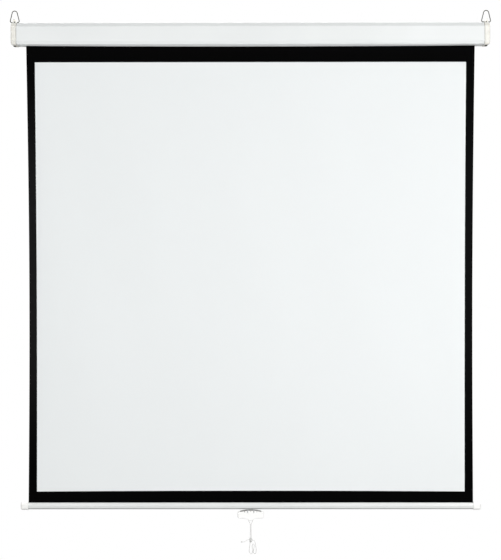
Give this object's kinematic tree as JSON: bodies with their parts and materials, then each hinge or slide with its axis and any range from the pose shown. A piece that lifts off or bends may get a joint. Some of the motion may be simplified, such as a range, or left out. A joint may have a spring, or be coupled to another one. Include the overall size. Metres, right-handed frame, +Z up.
{
  "type": "projector screen",
  "caption": "Pull-down projector screen: case with end caps and hanging bails, black-bordered white fabric on a spring roller, bottom bar, pull handle and knotted cord.",
  "frame": {"origin": "the middle of the case's flat back face, where it meets the wall", "axes": "+X to the viewer's right along the case, +Y towards the wall, the viewer at -Y, +Z up"},
  "size_m": [1.6924, 0.0672, 1.9269],
  "materials": {
    "white_steel": "satin white powder coat",
    "ivory_plastic": "moulded, slightly translucent ivory",
    "white_plastic": "moulded white, soft gloss",
    "dark_wire": "darkened steel wire",
    "zinc_steel": "zinc plated",
    "dark_screw": "blackened screw",
    "bare_aluminium": "mill finish",
    "spring_steel": "oiled spring wire",
    "grey_nylon": "moulded grey nylon",
    "screen_white": "matt white projection surface",
    "screen_black": "matt black border",
    "white_cord": "braided white cord"
  },
  "bodies": {
    "case": {"case_shell": "white_steel", "end_cap_left": "ivory_plastic", "end_cap_right": "ivory_plastic", "end_plate_left": "zinc_steel", "end_plate_right": "zinc_steel", "cap_screw_left_end": "zinc_steel", "cap_screw_right_end": "zinc_steel", "cap_screw_left_foot": "dark_screw", "cap_screw_right_foot": "dark_screw", "still_rod": "zinc_steel", "ratchet_hub": "zinc_steel", "spring_collar": "grey_nylon", "torsion_spring": "spring_steel", "bearing_bush": "white_plastic", "screen_fabric": "screen_white", "border_drop_top": "screen_black", "border_left": "screen_black", "border_right": "screen_black", "border_bottom": "screen_black"},
    "roller": {"roller_tube": "bare_aluminium", "fabric_spline": "grey_nylon", "fabric_turns": "screen_black", "spring_driver_plug": "grey_nylon", "spring_end_plug": "grey_nylon", "pawl_pin_upper": "zinc_steel", "pawl_pin_lower": "zinc_steel", "idle_plug": "grey_nylon", "idle_pin": "zinc_steel"},
    "pawl_upper_body": {"pawl_upper": "zinc_steel"},
    "pawl_lower_body": {"pawl_lower": "zinc_steel"},
    "bar": {"bottom_bar": "white_steel", "bar_cap_left": "white_plastic", "bar_cap_right": "white_plastic", "hem_rod": "zinc_steel", "fabric_hem": "screen_black", "handle_bracket": "zinc_steel", "handle_pin": "zinc_steel"},
    "handle": {"pull_handle": "white_plastic", "cord_loop": "white_cord"},
    "cord": {"cord_strand_left": "white_cord", "cord_strand_right": "white_cord", "cord_knot": "white_cord", "cord_hank": "white_cord", "cord_tail": "white_cord", "cord_end_knot": "white_cord"},
    "bail_left_body": {"bail_left": "dark_wire"},
    "bail_right_body": {"bail_right": "dark_wire"}
  },
  "joints": [
    {"name": "screen_drop", "type": "slide", "parent": "case", "child": "bar", "axis": [0, 0, 1], "range_m": [0, 1.615], "deforming": ["screen_fabric", "border_drop_top", "border_left", "border_right", "border_bottom"]},
    {"name": "roller_spin", "type": "hinge", "parent": "case", "child": "roller", "pos_m": [0, -0.036, 0], "axis": [1, 0, 0], "range_deg": [-5, 4505]},
    {"name": "pawl_upper_swing", "type": "hinge", "parent": "roller", "child": "pawl_upper_body", "pos_m": [-0.812, -0.0455, 0.0095], "axis": [1, 0, 0], "range_deg": [-14, 0]},
    {"name": "pawl_lower_swing", "type": "hinge", "parent": "roller", "child": "pawl_lower_body", "pos_m": [-0.812, -0.0265, -0.0095], "axis": [1, 0, 0], "range_deg": [-14, 0]},
    {"name": "handle_swing", "type": "hinge", "parent": "bar", "child": "handle", "pos_m": [0, -0.018, -1.6905], "axis": [1, 0, 0], "range_deg": [-80, 80]},
    {"name": "cord_swing", "type": "hinge", "parent": "handle", "child": "cord", "pos_m": [0, -0.018, -1.72246], "axis": [1, 0, 0], "range_deg": [-82, 82]},
    {"name": "bail_left_swing", "type": "hinge", "parent": "case", "child": "bail_left_body", "pos_m": [-0.829, -0.033, 0.0427], "axis": [1, 0, 0], "range_deg": [-80, 80]},
    {"name": "bail_right_swing", "type": "hinge", "parent": "case", "child": "bail_right_body", "pos_m": [0.829, -0.033, 0.0427], "axis": [1, 0, 0], "range_deg": [-80, 80]}
  ],
  "couplings": [
    {"joint": "roller_spin", "follows": "screen_drop", "rad_per_m": 48.63},
    {"joint": "cord_swing", "follows": "handle_swing", "ratio": -1}
  ]
}
